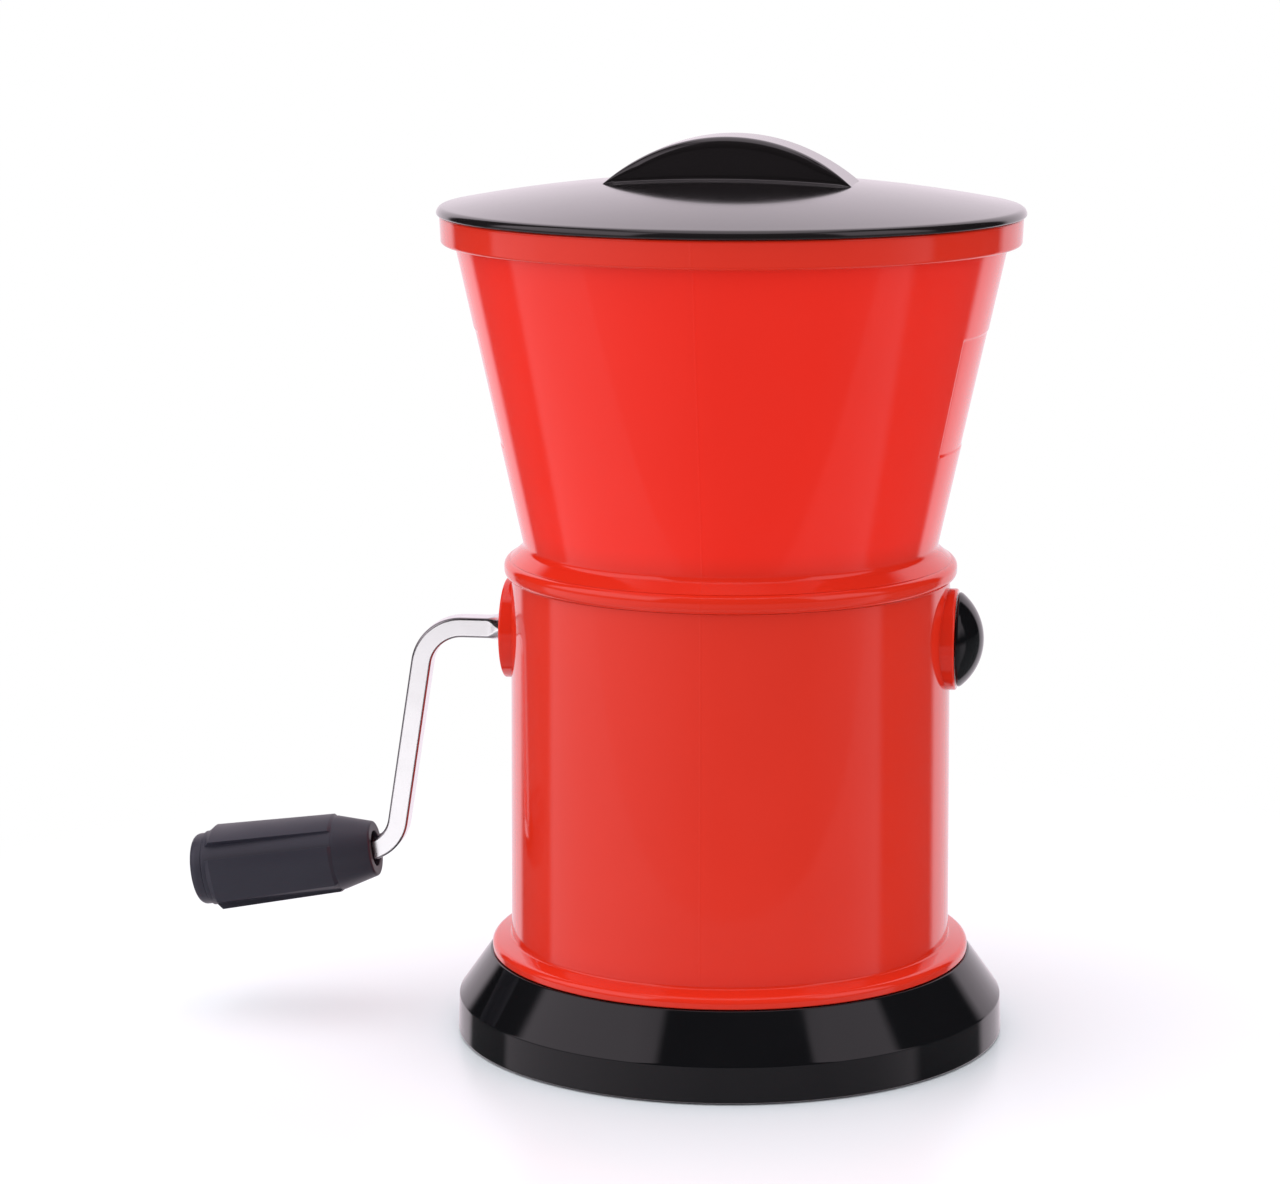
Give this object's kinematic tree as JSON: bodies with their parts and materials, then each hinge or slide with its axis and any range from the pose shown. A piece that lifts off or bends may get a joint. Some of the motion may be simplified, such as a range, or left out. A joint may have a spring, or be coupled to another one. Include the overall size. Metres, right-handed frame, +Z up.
{
  "type": "food mill",
  "caption": "Hand-cranked food mill: red body and hopper over a toothed rotor, black domed lid with an arched handle, bent steel crank with a spinning grip, black twist-off collecting base.",
  "frame": {"origin": "middle of the foot ring, on the table", "axes": "+Z up through the lid; the cutter shaft runs along X with the crank at -X; the front faces -Y"},
  "size_m": [0.1973, 0.135, 0.2101],
  "materials": {
    "red_plastic": "glossy moulded red plastic",
    "black_gloss_plastic": "glossy moulded black plastic",
    "black_lid_plastic": "semi-gloss moulded black plastic",
    "grip_plastic": "satin moulded black plastic",
    "bright_steel": "bright plated steel rod",
    "blade_steel": "brushed stainless sheet",
    "zinc_steel": "zinc-plated steel",
    "white_plastic": "natural white bearing plastic",
    "brass": "turned brass",
    "foot_rubber": "soft black rubber"
  },
  "bodies": {
    "base": {"collecting_base": "black_gloss_plastic", "foot_ring": "foot_rubber"},
    "housing": {"body_shell": "red_plastic", "comb_front": "blade_steel", "comb_rear": "blade_steel", "comb_screws": "zinc_steel", "bush_left": "white_plastic", "bush_right": "white_plastic"},
    "lid": {"lid": "black_lid_plastic"},
    "rotor": {"crank_rod": "bright_steel", "rotor_blade_1": "blade_steel", "rotor_blade_2": "blade_steel", "rotor_blade_3": "blade_steel", "rotor_blade_4": "blade_steel", "rotor_blade_5": "blade_steel", "rotor_blade_6": "blade_steel", "rotor_blade_7": "blade_steel", "rotor_blade_8": "blade_steel", "blade_spacer_1": "white_plastic", "blade_spacer_2": "white_plastic", "blade_spacer_3": "white_plastic", "blade_spacer_4": "white_plastic", "blade_spacer_5": "white_plastic", "blade_spacer_6": "white_plastic", "blade_spacer_7": "white_plastic", "end_spacer_left": "white_plastic", "end_spacer_right": "white_plastic", "thrust_washer_left": "zinc_steel", "thrust_washer_right": "zinc_steel", "locking_nut": "black_gloss_plastic", "nut_insert": "brass", "grip_retainer": "zinc_steel"},
    "grip": {"grip_sleeve": "grip_plastic", "grip_end_cap": "grip_plastic"}
  },
  "joints": [
    {"name": "base_twist", "type": "hinge", "parent": "base", "child": "housing", "pos_m": [0, 0, 0.0195], "axis": [0, 0, 1], "range_deg": [0, 25]},
    {"name": "lid_lift", "type": "slide", "parent": "housing", "child": "lid", "axis": [0, 0, 1], "range_m": [0, 0.06]},
    {"name": "crank_turn", "type": "hinge", "parent": "housing", "child": "rotor", "pos_m": [0, 0, 0.0943], "axis": [1, 0, 0], "continuous": true},
    {"name": "grip_spin", "type": "hinge", "parent": "rotor", "child": "grip", "pos_m": [-0.08523, 0, 0.03964], "axis": [-0.9882, 0, -0.153], "continuous": true}
  ]
}
